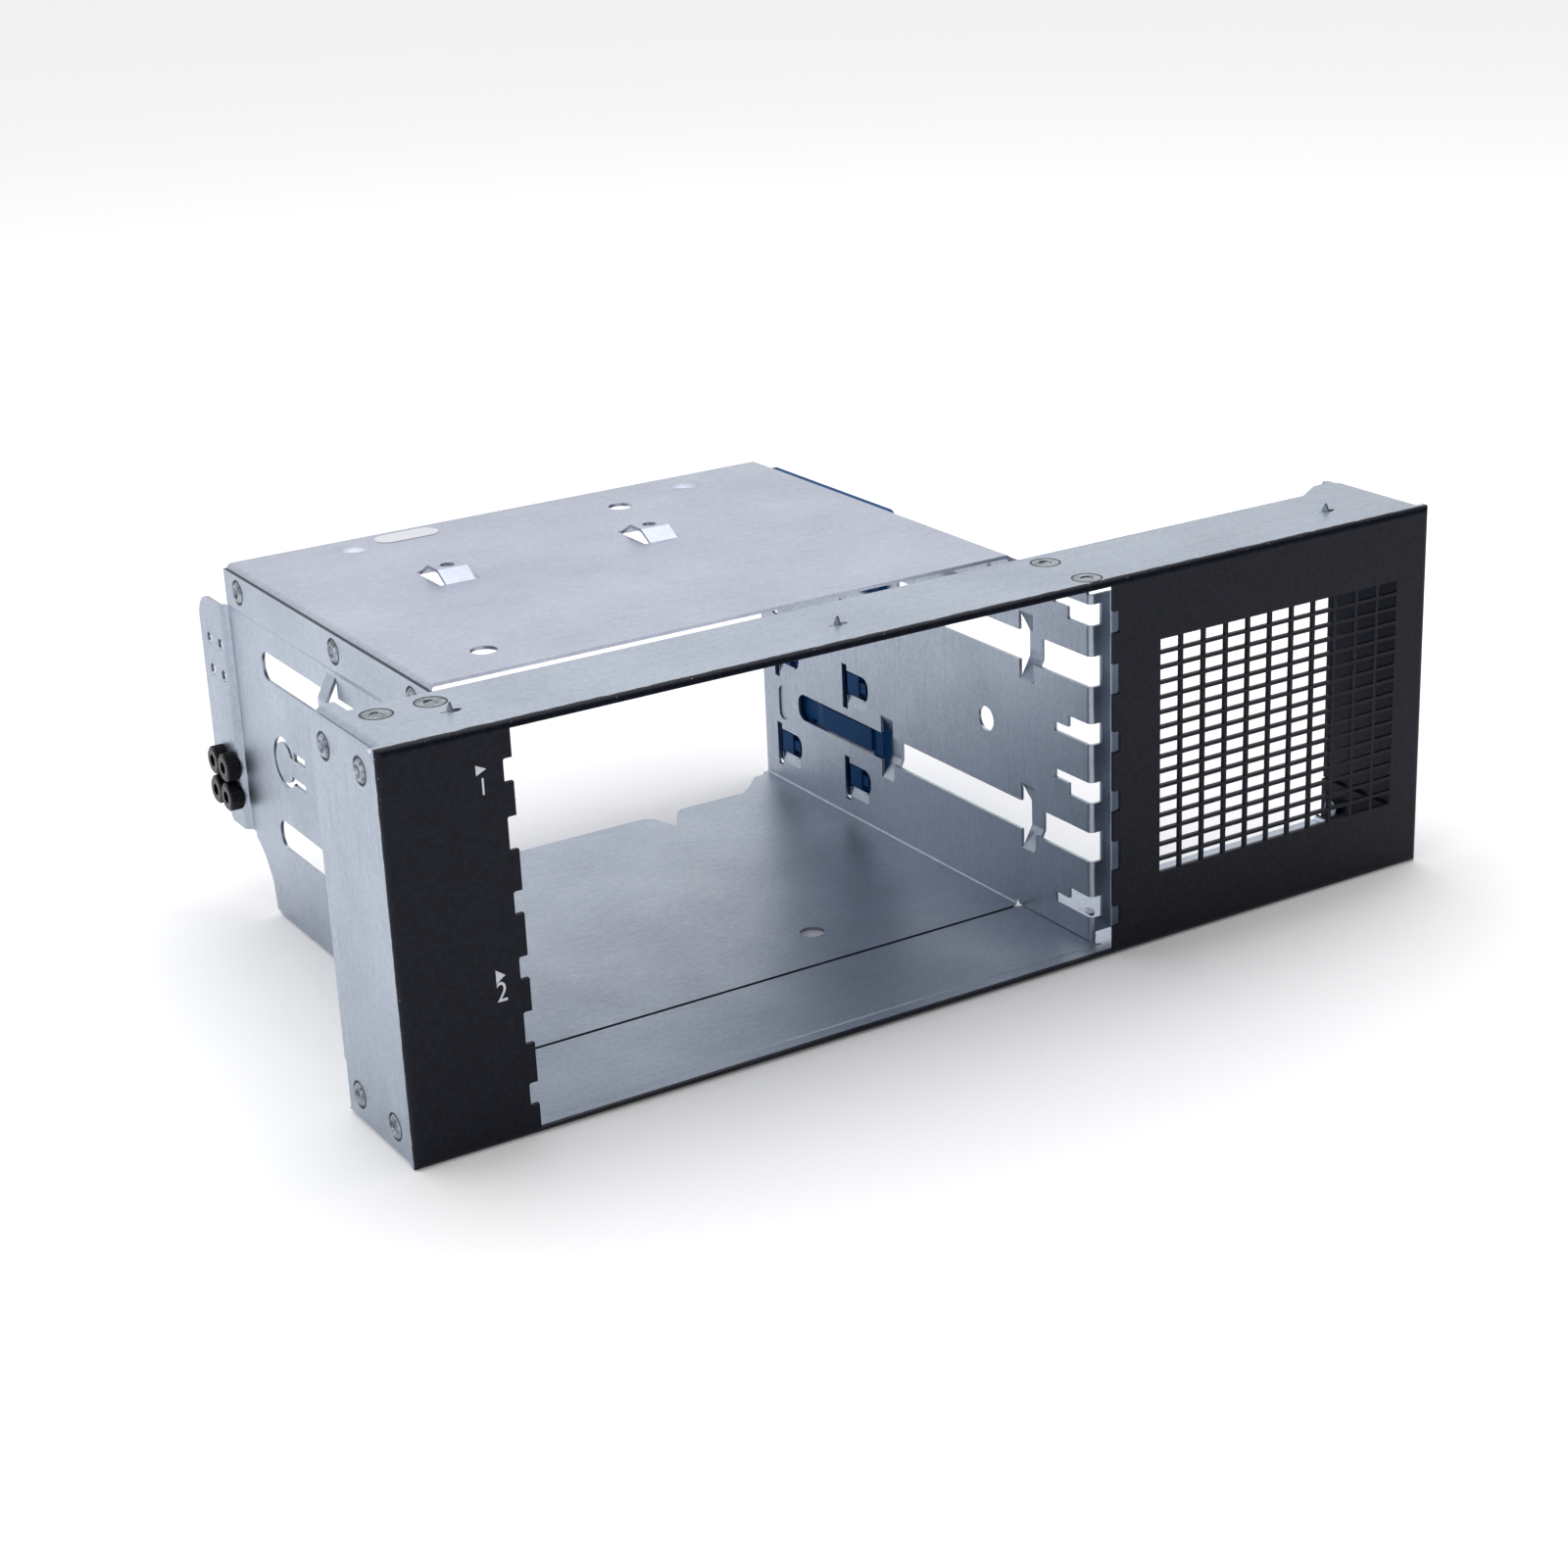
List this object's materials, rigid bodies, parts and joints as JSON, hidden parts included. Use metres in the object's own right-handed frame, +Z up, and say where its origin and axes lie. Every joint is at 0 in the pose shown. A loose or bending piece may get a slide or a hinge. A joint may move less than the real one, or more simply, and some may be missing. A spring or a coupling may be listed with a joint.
{
  "type": "server media drive cage",
  "caption": "Folded sheet-metal server drive cage: wide black front frame with stacked open bays and a vent grille, slotted side walls, riveted cover and moulded blue side latches.",
  "frame": {"origin": "bottom centre of the whole part", "axes": "-Y is the front with the bays and the grille, +X to the grille's side, +Z up"},
  "size_m": [0.2728, 0.171, 0.0927],
  "materials": {
    "black_paint": "fine-textured black powder coat on the face, bare zinc-plated steel on the flanges",
    "zinc_steel": "zinc-coated steel sheet with a fine rolled grain",
    "blue_plastic": "moulded ABS, satin",
    "black_oxide": "black oxide on steel, semi-gloss",
    "rivet_steel": "bright zinc-plated steel",
    "white_film": "blank adhesive film"
  },
  "bodies": {
    "root": {"bottom_rivet_1": "rivet_steel", "bottom_rivet_2": "rivet_steel", "bottom_rivet_3": "rivet_steel", "bottom_rivet_4": "rivet_steel", "cage_body": "zinc_steel", "ear_screw_1": "black_oxide", "ear_screw_2": "black_oxide", "ear_screw_3": "black_oxide", "ear_screw_4": "black_oxide", "front_frame": "black_paint", "label": "white_film", "latch_lower": "blue_plastic", "latch_upper": "blue_plastic", "left_flange_rivet_1": "rivet_steel", "left_flange_rivet_2": "rivet_steel", "left_flange_rivet_3": "rivet_steel", "left_flange_rivet_4": "rivet_steel", "plate_rivet_left_1": "rivet_steel", "plate_rivet_left_2": "rivet_steel", "plate_rivet_left_3": "rivet_steel", "plate_rivet_right_1": "rivet_steel", "plate_rivet_right_2": "rivet_steel", "plate_rivet_right_3": "rivet_steel", "right_flange_rivet_1": "rivet_steel", "right_flange_rivet_2": "rivet_steel", "right_flange_rivet_3": "rivet_steel", "right_flange_rivet_4": "rivet_steel", "top_plate": "zinc_steel", "top_rivet_1": "rivet_steel", "top_rivet_2": "rivet_steel", "top_rivet_3": "rivet_steel", "top_rivet_4": "rivet_steel"}
  },
  "joints": []
}
